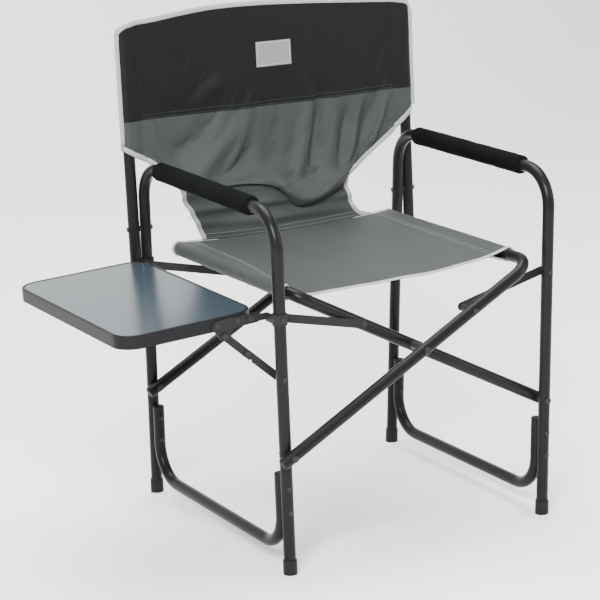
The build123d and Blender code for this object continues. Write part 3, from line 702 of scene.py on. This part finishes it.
def settle_cloth(grid, frames, slack_low, slack_high, cap):
    """Cloth simulation with extra length in the lower part, capped against the start."""
    across = len(grid[0])
    before = [point.copy() for row in grid for point in row]
    piece = new_piece("settling_panel", before, grid_faces(across, len(grid)))
    pins = piece.vertex_groups.new(name="pins")
    slack = piece.vertex_groups.new(name="slack")
    for index, corner in enumerate(before):
        pins.add([index], pin_weight(corner.x - MIDDLE_X, index // across), "REPLACE")
        slack.add([index], smoothstep(0.60, 0.80, corner.z), "REPLACE")
    solver = piece.modifiers.new("settle", "CLOTH")
    settings = solver.settings
    settings.quality = 6
    settings.mass = 0.25
    settings.tension_stiffness = settings.compression_stiffness = 25
    settings.shear_stiffness = 12
    settings.bending_stiffness = 1.2
    settings.vertex_group_mass = "pins"
    settings.vertex_group_shrink = "slack"
    settings.shrink_min, settings.shrink_max = -slack_low, -slack_high
    settings.effector_weights.gravity = 0.12
    solver.collision_settings.use_collision = False
    solver.point_cache.frame_start, solver.point_cache.frame_end = 1, frames
    for step in range(1, frames + 1):
        bpy.context.scene.frame_set(step)
    settle(piece)
    bpy.context.scene.frame_set(1)
    settled = []
    for corner, start in zip(piece.data.vertices, before):
        moved = corner.co - start
        short = min(1.0, cap / moved.length) if moved.length > 0 else 1.0
        settled.append(start + moved * short)
    bpy.data.objects.remove(piece)
    return [settled[r * across:(r + 1) * across] for r in range(len(grid))]


started = [[p.copy() for p in row] for row in panel]
panel = settle_cloth(panel, frames=22, slack_low=0.016, slack_high=0.0015, cap=0.008)
shift = max((a - b).length for r, q in zip(panel, started) for a, b in zip(r, q))
print("settling moved the cloth by up to", round(shift * 1000, 1), "mm")


# %% [markdown]
# Each post goes up through a sleeve. The cloth comes off the panel, passes in front of
# the post, round its outer side and back behind the panel, where it is stitched down.
# The sleeves' grid columns join the panel's, so the whole back is one grid.

# %% Sleeves on the posts
LOOP_COLUMNS = 34
LOOP_TURN = 224          # degrees of the post that the cloth touches


def sleeve_loop(side):
    """Section of a sleeve, from the panel round the post and back, as x and y offsets."""
    radius, inside = SLEEVE_R + 0.0008, -SLEEVE_SEAM
    loop = []
    for k in range(1, 9):
        share = k / 9
        loop.append((lerp(inside, -0.004, share),
                     lerp(-0.005, -radius, smoothstep(0, 1, share))))
    for step in range(18):
        angle = math.radians(LOOP_TURN * (step / 17 - 0.5))
        loop.append((radius * math.cos(angle), radius * math.sin(angle)))
    for k in range(1, 9):
        share = k / 8
        loop.append((lerp(-0.004, inside, share),
                     lerp(radius, -0.0022, smoothstep(0, 1, share))))
    return [(side * (POST_HALF + dx), dy) for dx, dy in loop]


def sleeve_column(x, dy, side):
    """One column of a sleeve, from its foot to its top."""
    points = []
    # behind the post the cloth ends a little lower, so its rear edge hides
    tuck = 0.008 * smoothstep(-0.006, 0.009, dy)
    for z in back_heights(x):
        z -= tuck * smoothstep(BAND_Z, back_top(x), z)
        crease = 0.0010 * ripple(x + dy, z, 0.0, 0.03, 12.0 + side)
        points.append(Vector((MIDDLE_X + x, post_y(z) + dy + crease, z)))
    return points


right_columns = [sleeve_column(x, dy, -1) for x, dy in reversed(sleeve_loop(-1))]
left_columns = [sleeve_column(x, dy, 1) for x, dy in sleeve_loop(1)]
back_grid = [[column[row] for column in right_columns] + panel[row]
             + [column[row] for column in left_columns] for row in range(BACK_ROWS)]
back_normals = grid_normals(back_grid)
FIRST_LEFT = LOOP_COLUMNS + BACK_COLUMNS - 1
LAST_COLUMN = len(back_grid[0]) - 1
print("back grid", len(back_grid), "rows of", len(back_grid[0]))


# %% Cut the back where its colours and its sleeves change
BACK_PARTS = {"right": (0, LOOP_COLUMNS), "middle": (LOOP_COLUMNS, FIRST_LEFT),
              "left": (FIRST_LEFT, LAST_COLUMN)}
back_cloth = {}
for word, cols in BACK_PARTS.items():
    for part, rows, finish in (("lower", (0, LOWER_ROWS), GREY_CLOTH),
                               ("band", (LOWER_ROWS, BACK_ROWS - 1), CHARCOAL_CLOTH)):
        back_cloth[word, part] = sheet_piece(f"back_{part}_{word}", back_grid, back_normals,
                                             rows, cols, finish)
print("back pieces", [p.name for p in back_cloth.values()])


# %% [markdown]
# Behind the fold, a flap joins the back to the rear edge of the seat. It is narrow at
# the waist, and its left side flares out where it is sewn to the seat.

# %% Flap between seat and back
FLAP_TOP_Z, FLAP_WIDTH = 0.562, 0.347
SEAM_Y = SEAT_REAR_Y - 0.004
FLAP_RIGHT_EDGE = metres([(455, -165), (464, -167), (485, -174), (509, -183), (530, -191),
                          (565, -194)])
FLAP_LEFT_EDGE = metres([(455, 182), (459, 170), (464, 156), (474, 146), (488, 140), (511, 137),
                         (536, 138), (565, 142)])


def flap_point(across, share):
    """Place on the flap; across runs from 0 at its right edge to 1, share from the seam up."""
    height = lerp(0.457, FLAP_TOP_Z, share)
    x = lerp(through_points(FLAP_RIGHT_EDGE, height),
                     through_points(FLAP_LEFT_EDGE, height), across)
    seam = seat_height(MIDDLE_X + x, SEAM_Y) + 0.0012
    z = lerp(seam, FLAP_TOP_Z, share)
    lean = 0.026 * share ** 1.2
    slant = 0.0030 * math.sin(z * 230 + x * 9) + 0.0022 * math.sin(z * 150 - x * 16 + 1.3)
    soft = 0.0030 * ripple(x, z, 0.0, 0.06, 21.0)
    return Vector((MIDDLE_X + x, SEAM_Y + lean + (soft + slant) * math.sin(math.pi * share), z))


FLAP_ROWS, FLAP_COLUMNS = 34, 81
flap_rows = [[flap_point(c / (FLAP_COLUMNS - 1), r / (FLAP_ROWS - 1))
              for c in range(FLAP_COLUMNS)] for r in range(FLAP_ROWS)]
seat_flap = sheet_piece("seat_flap", flap_rows, grid_normals(flap_rows), (0, FLAP_ROWS - 1),
                        (0, FLAP_COLUMNS - 1), GREY_CLOTH)
print("flap", len(seat_flap.data.vertices), "corners")


# %% [markdown]
# Every raw edge is closed by a pale tape folded over it. One function makes flat oval
# rings along an edge, and another joins a run of rings into a piece. The tape on the
# back is cut where the back is cut.

# %% Binding tape
TAPE_WIDTH, TAPE_T, TAPE_SIDES = 0.0090, 0.0036, 12


def tape_rings(edge, inner, overhang=0.30):
    """Oval rings along an edge; inner holds a point inside the cloth for each edge point."""
    rings, run = [], 0.0
    for index, point in enumerate(edge):
        ahead = edge[min(index + 1, len(edge) - 1)] - edge[max(index - 1, 0)]
        run += (point - edge[index - 1]).length if index else 0.0
        along = ahead.normalized()
        inward = inner[index] - point
        inward = (inward - along * inward.dot(along)).normalized()
        normal = along.cross(inward)
        centre = point + inward * TAPE_WIDTH * (0.5 - overhang)
        ring = []
        for side in range(TAPE_SIDES):
            angle = 2 * math.pi * side / TAPE_SIDES
            uneven = 1 + 0.07 * ripple(point.x, point.z + point.y, angle * 0.01, 0.012, 31.0)
            place = centre + inward * (TAPE_WIDTH / 2 * uneven * math.cos(angle))
            place += normal * (TAPE_T / 2 * uneven * math.sin(angle))
            ring.append((place, (run, TAPE_WIDTH * side / TAPE_SIDES)))
        rings.append(ring)
    return rings


def tape_piece(name, rings):
    corners = [place for ring in rings for place, uv in ring]
    uvs = [uv for ring in rings for place, uv in ring]
    faces = grid_faces(TAPE_SIDES, len(rings), closed=True)
    faces += [tuple(range(TAPE_SIDES)),
              tuple(range(len(corners) - TAPE_SIDES, len(corners)))]
    piece = outwards(new_piece(name, corners, faces, uvs))
    piece.data.materials.append(BINDING_TAPE)
    tapes[name] = piece
    return piece


def column_of(rows, column):
    return [row[column] for row in rows]


tapes = {}
HEM_TURN = 34
tape_piece("seat_front_tape", tape_rings(seat_rows[0], seat_rows[1]))
tape_piece("seat_rear_tape_right", tape_rings(seat_rows[-1][:HEM_TURN], seat_rows[-2][:HEM_TURN]))
tape_piece("seat_rear_tape_left", tape_rings(seat_rows[-1][-HEM_TURN:], seat_rows[-2][-HEM_TURN:]))
tape_piece("flap_tape_right", tape_rings(column_of(flap_rows, 0), column_of(flap_rows, 1)))
tape_piece("flap_tape_left", tape_rings(column_of(flap_rows, -1), column_of(flap_rows, -2)))
print("tapes", list(tapes))


# %% Tape round the back
def dropped(points, drop):
    return [point + Vector((0, 0, drop)) for point in points]


top_rings = tape_rings(back_grid[-1], dropped(back_grid[-1], -0.02))
low_rings = tape_rings(back_grid[0], dropped(back_grid[0], 0.02))
waist_from = LOOP_COLUMNS + sum(1 for x in columns if x < WAIST_RIGHT)
waist_to = LOOP_COLUMNS + sum(1 for x in columns if x < WAIST_LEFT) - 1
for word, (first, last) in BACK_PARTS.items():
    tape_piece(f"back_top_tape_{word}", top_rings[first:last + 1])
    if word != "middle":
        tape_piece(f"back_low_tape_{word}", low_rings[first:last + 1])
tape_piece("back_low_tape_middle_right", low_rings[LOOP_COLUMNS:waist_from + 2])
tape_piece("back_low_tape_middle_left", low_rings[waist_to:FIRST_LEFT + 1])

SIDE_EDGE_OUT, SIDE_EDGE_FORWARD, SIDE_EDGE_RISE = 0.0038, 0.0065, 0.010
for side, word in ((-1, "right"), (1, "left")):
    x = side * (POST_HALF + SLEEVE_R + SIDE_EDGE_OUT)
    low, high = LOW_EDGE[0 if side < 0 else -1][1], TOP_EDGE[0 if side < 0 else -1][1]
    edge = []
    for k in range(51):
        z = lerp(low + 0.001, high + SIDE_EDGE_RISE, k / 50)
        round_off = side * 0.007 * smoothstep(high - 0.010, high + SIDE_EDGE_RISE, z)
        edge.append(Vector((MIDDLE_X + x - round_off, post_y(z) - SIDE_EDGE_FORWARD, z)))
    inner = [point - Vector((side * 0.02, 0, 0)) for point in edge]
    tape_piece(f"back_side_tape_{word}", tape_rings(edge, inner))
print("tapes", len(tapes))


# %% [markdown]
# A plain cloth patch is sewn on the charcoal band. It is a small sheet that copies the
# panel's own surface a little in front of it.

# %% Patch on the band
def on_panel(x, z, lift=0.0):
    """Point on the settled panel near x and z, lifted forwards."""
    col = (x / SLEEVE_INSIDE + 1) / 2 * (BACK_COLUMNS - 1)
    low_col = min(BACK_COLUMNS - 2, max(0, int(col)))
    column = heights[low_col]
    row = max(0, min(len(column) - 2, sum(1 for h in column if h <= z) - 1))
    share_c, share_r = col - low_col, (z - column[row]) / (column[row + 1] - column[row])
    below = panel[row][low_col].lerp(panel[row][low_col + 1], share_c)
    above = panel[row + 1][low_col].lerp(panel[row + 1][low_col + 1], share_c)
    return below.lerp(above, share_r) - Vector((0, lift, 0))


PATCH_X, PATCH_HALF_W, PATCH_LOW, PATCH_HIGH, PATCH_LIFT = 0.006, 0.034, 0.750, 0.794, 0.0014
patch_rows = []
for row in range(13):
    z = lerp(PATCH_LOW, PATCH_HIGH, row / 12)
    patch_rows.append([on_panel(PATCH_X + PATCH_HALF_W * (c / 9 - 1), z, PATCH_LIFT)
                       for c in range(19)])
PATCH_CLOTH = make_cloth("patch_cloth", (0.20, 0.21, 0.21), 0.7, 0.0012, 0.2)
back_patch = sheet_piece("back_patch", patch_rows, grid_normals(patch_rows), (0, 12), (0, 18),
                         PATCH_CLOTH)
print("patch", back_patch.name)


# %% [markdown]
# Stitches repeat along every seam, so Geometry Nodes lay them. The tree turns a line of
# edges into a curve, marks points along it at the stitch spacing and puts a short thread
# on each, turned along the seam. Realize Instances makes them real mesh.

# %% Stitch tree
def make_stitch_tree():
    tree = bpy.data.node_groups.new("stitch_row", "GeometryNodeTree")
    new_sockets(tree, "INPUT", [
        ("Geometry", "Geometry", None), ("Spacing", "Float", 0.0042), ("Length", "Float", 0.0029),
        ("Thread", "Float", 0.0007), ("Material", "Material", None)])
    new_sockets(tree, "OUTPUT", [("Geometry", "Geometry", None)])
    given = add_node(tree, "NodeGroupInput").outputs
    curve = add_node(tree, "GeometryNodeMeshToCurve", Mesh=given["Geometry"])
    marks = tree.nodes.new("GeometryNodeResampleCurve")
    marks.mode = "LENGTH"
    feed(tree, marks, Curve=curve.outputs[0], Length=given["Spacing"])
    bead = add_node(tree, "GeometryNodeMeshUVSphere", Segments=6, Rings=4, Radius=0.5)
    size = add_node(tree, "ShaderNodeCombineXYZ", X=given["Thread"], Y=given["Thread"],
                    Z=given["Length"])
    thread = add_node(tree, "GeometryNodeTransform", Geometry=bead.outputs["Mesh"],
                      Scale=size.outputs[0])
    tangent = add_node(tree, "GeometryNodeInputTangent")
    turn = add_node(tree, "FunctionNodeAlignRotationToVector", Vector=tangent.outputs[0])
    turn.axis = "Z"
    place = add_node(tree, "GeometryNodeInstanceOnPoints", Points=marks.outputs[0],
                     Instance=thread.outputs[0], Rotation=turn.outputs[0])
    real = add_node(tree, "GeometryNodeRealizeInstances", Geometry=place.outputs[0])
    smooth = add_node(tree, "GeometryNodeSetShadeSmooth", Geometry=real.outputs[0])
    paint = add_node(tree, "GeometryNodeSetMaterial", Geometry=smooth.outputs[0],
                     Material=given["Material"])
    add_node(tree, "NodeGroupOutput", Geometry=paint.outputs[0])
    return tree


STITCHES = make_stitch_tree()


def sew(name, seams, finish, spacing=0.0042):
    """Rows of stitches along lists of points, as one plain mesh."""
    corners, edges = [], []
    for seam in seams:
        first = len(corners)
        corners += [tuple(p) for p in seam]
        edges += [(first + k, first + k + 1) for k in range(len(seam) - 1)]
    mesh = bpy.data.meshes.new(name)
    mesh.from_pydata(corners, edges, [])
    piece = new_object(name, mesh)
    layer = piece.modifiers.new("stitches", "NODES")
    layer.node_group = STITCHES
    names = {item.name: item.identifier for item in STITCHES.interface.items_tree
             if item.in_out == "INPUT"}
    layer[names["Spacing"]] = spacing
    layer[names["Material"]] = finish
    settle(piece)
    print(name, len(piece.data.polygons), "faces")
    return piece


# %% [markdown]
# Thread is nearly the colour of its cloth, only a little lighter and shinier, so it
# shows as a fine broken line.

# %% Sew the seams
def make_thread(name, colour):
    finish, tree, shader = start_finish(name, 0.5, Sheen_Weight=0.3)
    slow = place_group(tree, MOTTLE, in_space(tree), Scale=500.0, Amount=0.2)
    feed(tree, shader, Base_Color=shaded(tree, colour, slow.outputs["Shade"]))
    return finish


GREY_THREAD = make_thread("grey_thread", (0.20, 0.21, 0.21))
DARK_THREAD = make_thread("dark_thread", (0.012, 0.013, 0.013))
PALE_THREAD = make_thread("pale_thread", (0.62, 0.63, 0.61))
THREAD_LIFT = CLOTH_T / 2 + 0.0002


def seat_line(x_from, x_to, y_from, y_to, count=80):
    line = []
    for k in range(count + 1):
        x, y = lerp(x_from, x_to, k / count), lerp(y_from, y_to, k / count)
        line.append(Vector((x, y, seat_height(x, y) + THREAD_LIFT)))
    return line


HEM_RIGHT, HEM_LEFT = RAIL_RIGHT_X + SLEEVE_HEM - 0.003, RAIL_LEFT_X - SLEEVE_HEM + 0.003
seat_seams = [seat_line(x, x, SEAT_FRONT_Y + 0.004, SEAT_REAR_Y - 0.004)
              for x in (HEM_RIGHT, HEM_RIGHT - 0.006, HEM_LEFT, HEM_LEFT + 0.006)]
flap_seams = []
for share in (0.035, 0.10):
    row = [flap_point(c / 120, share) for c in range(3, 118)]
    flap_seams.append([p + Vector((0, -THREAD_LIFT, 0.0003)) for p in row])
seat_stitches = sew("seat_stitches", seat_seams, GREY_THREAD)
flap_stitches = sew("flap_stitches", flap_seams, GREY_THREAD)

band_seams = [[on_panel(x, BAND_Z + up, THREAD_LIFT) for x in columns] for up in (0.0025, 0.0085)]
band_stitches = sew("band_stitches", band_seams, DARK_THREAD)
PATCH_INSET = 0.0028
patch_x = (PATCH_X - PATCH_HALF_W + PATCH_INSET, PATCH_X + PATCH_HALF_W - PATCH_INSET)
patch_z = (PATCH_LOW + PATCH_INSET, PATCH_HIGH - PATCH_INSET)
patch_round = ((0, 0), (1, 0), (1, 1), (0, 1), (0, 0))
patch_seam = []
for (a, b), (c, d) in zip(patch_round, patch_round[1:]):
    for k in range(20):
        patch_seam.append(on_panel(lerp(patch_x[a], patch_x[c], k / 20),
                                   lerp(patch_z[b], patch_z[d], k / 20),
                                   PATCH_LIFT + THREAD_LIFT))
patch_stitches = sew("patch_stitches", [patch_seam + patch_seam[:1]], PALE_THREAD, 0.0034)


# %% [markdown]
# The foam sleeves on the arms are thick-walled tubes that hands have softened: their
# ends are rounded, a faint seam runs along the underside, and the surface is never
# quite even. Each is turned like a lathe piece along the arm.

# %% Foam arm sleeves
def foam_sleeve(word):
    low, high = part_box(f"arm_pad_{word}")
    centre_x = (low.x + high.x) / 2
    radius = 0.0160
    front = Vector((centre_x, low.y, low.z + radius))
    rear = Vector((centre_x, high.y, high.z - radius))
    axis = (rear - front).normalized()
    length = (rear - front).length
    across = Vector((1, 0, 0))
    up = across.cross(axis)
    rows, sides, rounding = 90, 48, 0.006
    corners, uvs = [], []
    profile = [(0.0, TUBE_R + 0.0003), (0.0, radius - rounding)]
    for k in range(1, 7):
        angle = math.radians(90 * k / 6)
        profile.append((rounding * (1 - math.cos(angle)),
                        radius - rounding + rounding * math.sin(angle)))
    middle = [(lerp(rounding, length - rounding, k / rows), radius)
              for k in range(1, rows)]
    profile = profile + middle + [(length - run, r) for run, r in reversed(profile)]
    for run, r in profile:
        for side in range(sides):
            angle = 2 * math.pi * side / sides
            out = across * math.cos(angle) + up * math.sin(angle)
            dent = 0.0007 * ripple(run, angle * 0.02, 0.0, 0.035, 40.0 + centre_x)
            seam = 0.0006 * math.exp(-((angle - 1.5 * math.pi) / 0.07) ** 2)
            reach = r - seam + dent if r > TUBE_R + 0.002 else r
            corners.append(front + axis * run + out * reach)
            uvs.append((run, radius * angle))
    faces = grid_faces(sides, len(profile), closed=True)
    last = (len(profile) - 1) * sides
    # the bore joins the last ring to the first
    faces += [(last + s, last + (s + 1) % sides, (s + 1) % sides, s) for s in range(sides)]
    piece = outwards(new_piece(f"foam_sleeve_{word}", corners, faces, uvs))
    piece.data.materials.append(FOAM)
    return piece


foam = {word: foam_sleeve(word) for word in ("right", "left")}
print("foam sleeves", [p.name for p in foam.values()])


# %% [markdown]
# Now the back and arm pieces are tied to the frame. When the chair folds, the rails come together,
# but the seat pieces are not tied to either side: only their places are baked into their meshes.
# The back's sleeves, tapes and foam stay on their own side, and the middle of the back goes with
# the right side.

for piece in (back_cloth["middle", "lower"], back_cloth["middle", "band"], back_patch,
              band_stitches, patch_stitches, tapes["back_top_tape_middle"],
              tapes["back_low_tape_middle_right"], tapes["back_low_tape_middle_left"]):
    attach(piece, "right_side")
    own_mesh(piece)
for word, body in (("right", "right_side"), ("left", "left_side")):
    for part in ("band", "lower"):
        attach(back_cloth[word, part], body)
    for place in ("top", "low", "side"):
        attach(tapes[f"back_{place}_tape_{word}"], body)
    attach(foam[word], body)
seat_pieces = [seat_cloth, seat_flap, seat_stitches, flap_stitches, tapes["seat_front_tape"],
               tapes["seat_rear_tape_right"], tapes["seat_rear_tape_left"],
               tapes["flap_tape_right"], tapes["flap_tape_left"]]
for piece in seat_pieces:
    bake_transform(piece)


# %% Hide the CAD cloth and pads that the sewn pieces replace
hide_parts("seat_sling")
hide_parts("back_sling")
for word in ("right", "left"):
    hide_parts(f"arm_pad_{word}")


# %% [markdown]
# The chair stands on a plain pale floor that runs up into a wall behind it. One large
# soft light from the upper left gives the gentle shadow to the right, and a wide fill
# and a bright surrounding keep the dark tubes readable.

# %% Floor and light
def make_floor():
    reach, rise, curve = 9.0, 5.0, 1.6
    back_y = 4.2
    profile = [(-reach, 0.0), (back_y - curve, 0.0)]
    for k in range(1, 13):
        angle = math.radians(90 * k / 12)
        profile.append((back_y - curve + curve * math.sin(angle), curve * (1 - math.cos(angle))))
    profile.append((back_y, rise))
    corners = [(x, y, z) for y, z in profile for x in (-reach, reach)]
    floor = new_piece("studio_floor", corners, grid_faces(2, len(profile)))
    finish, tree, shader = start_finish("studio_white", 0.9, Specular_IOR_Level=0.1)
    feed(tree, shader, Base_Color=(0.93, 0.93, 0.93, 1.0))
    floor.data.materials.append(finish)
    return floor


def soft_light(name, place, target, size, power):
    lamp = bpy.data.lights.new(name, "AREA")
    lamp.shape = "DISK"
    lamp.size = size
    lamp.energy = power
    holder = new_object(name, lamp)
    holder.location = place
    holder.visible_camera = False
    aim = Vector(target) - Vector(place)
    holder.rotation_euler = aim.to_track_quat("-Z", "Y").to_euler()


floor = make_floor()
floor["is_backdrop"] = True
soft_light("key", (-2.2, -2.8, 2.9), (0, 0, 0.4), 2.0, 430)
soft_light("fill", (3.4, -2.6, 2.0), (0, 0, 0.4), 3.0, 90)
soft_light("top", (0.2, 0.8, 4.2), (0, 0, 0.3), 3.6, 370)
surround = bpy.data.worlds.new("surround")
surround.use_nodes = True
feed(surround.node_tree, surround.node_tree.nodes["Background"], Color=(1.0, 1.0, 1.0, 1.0),
     Strength=0.55)
bpy.context.scene.world = surround


# %% [markdown]
# The camera stands to the chair's front right, a little above the arms, with a long
# lens. Its place and turn are three angles and a point.

# %% Camera
CAMERA_PLACE = Vector((-1.7811, -3.2277, 1.3453))
CAMERA_TURN, CAMERA_RISE, CAMERA_ROLL = -29.257, 14.566, -1.922
CAMERA_LENS = 135.04


def camera_axes(turn, rise, roll):
    """Right, up and backward axes of a camera that looks down on the chair."""
    turn, rise, roll = (math.radians(a) for a in (turn, rise, roll))
    back = Vector((math.sin(turn) * math.cos(rise), -math.cos(turn) * math.cos(rise),
                   math.sin(rise)))
    right = Vector((math.cos(turn), math.sin(turn), 0))
    up = back.cross(right)
    level_right = right * math.cos(roll) + up * math.sin(roll)
    level_up = up * math.cos(roll) - right * math.sin(roll)
    return level_right, level_up, back


lens = bpy.data.cameras.new("camera")
lens.lens = CAMERA_LENS
lens.sensor_width = 36.0
lens.clip_end = 50.0
camera = new_object("camera", lens)
turned = Matrix(camera_axes(CAMERA_TURN, CAMERA_RISE, CAMERA_ROLL)).transposed()
camera.matrix_world = Matrix.Translation(CAMERA_PLACE) @ turned.to_4x4()
bpy.context.scene.camera = camera
print("camera at", tuple(round(c, 3) for c in camera.location))


# %% Size of what is shown
low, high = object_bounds()
print("visual box", low, high)
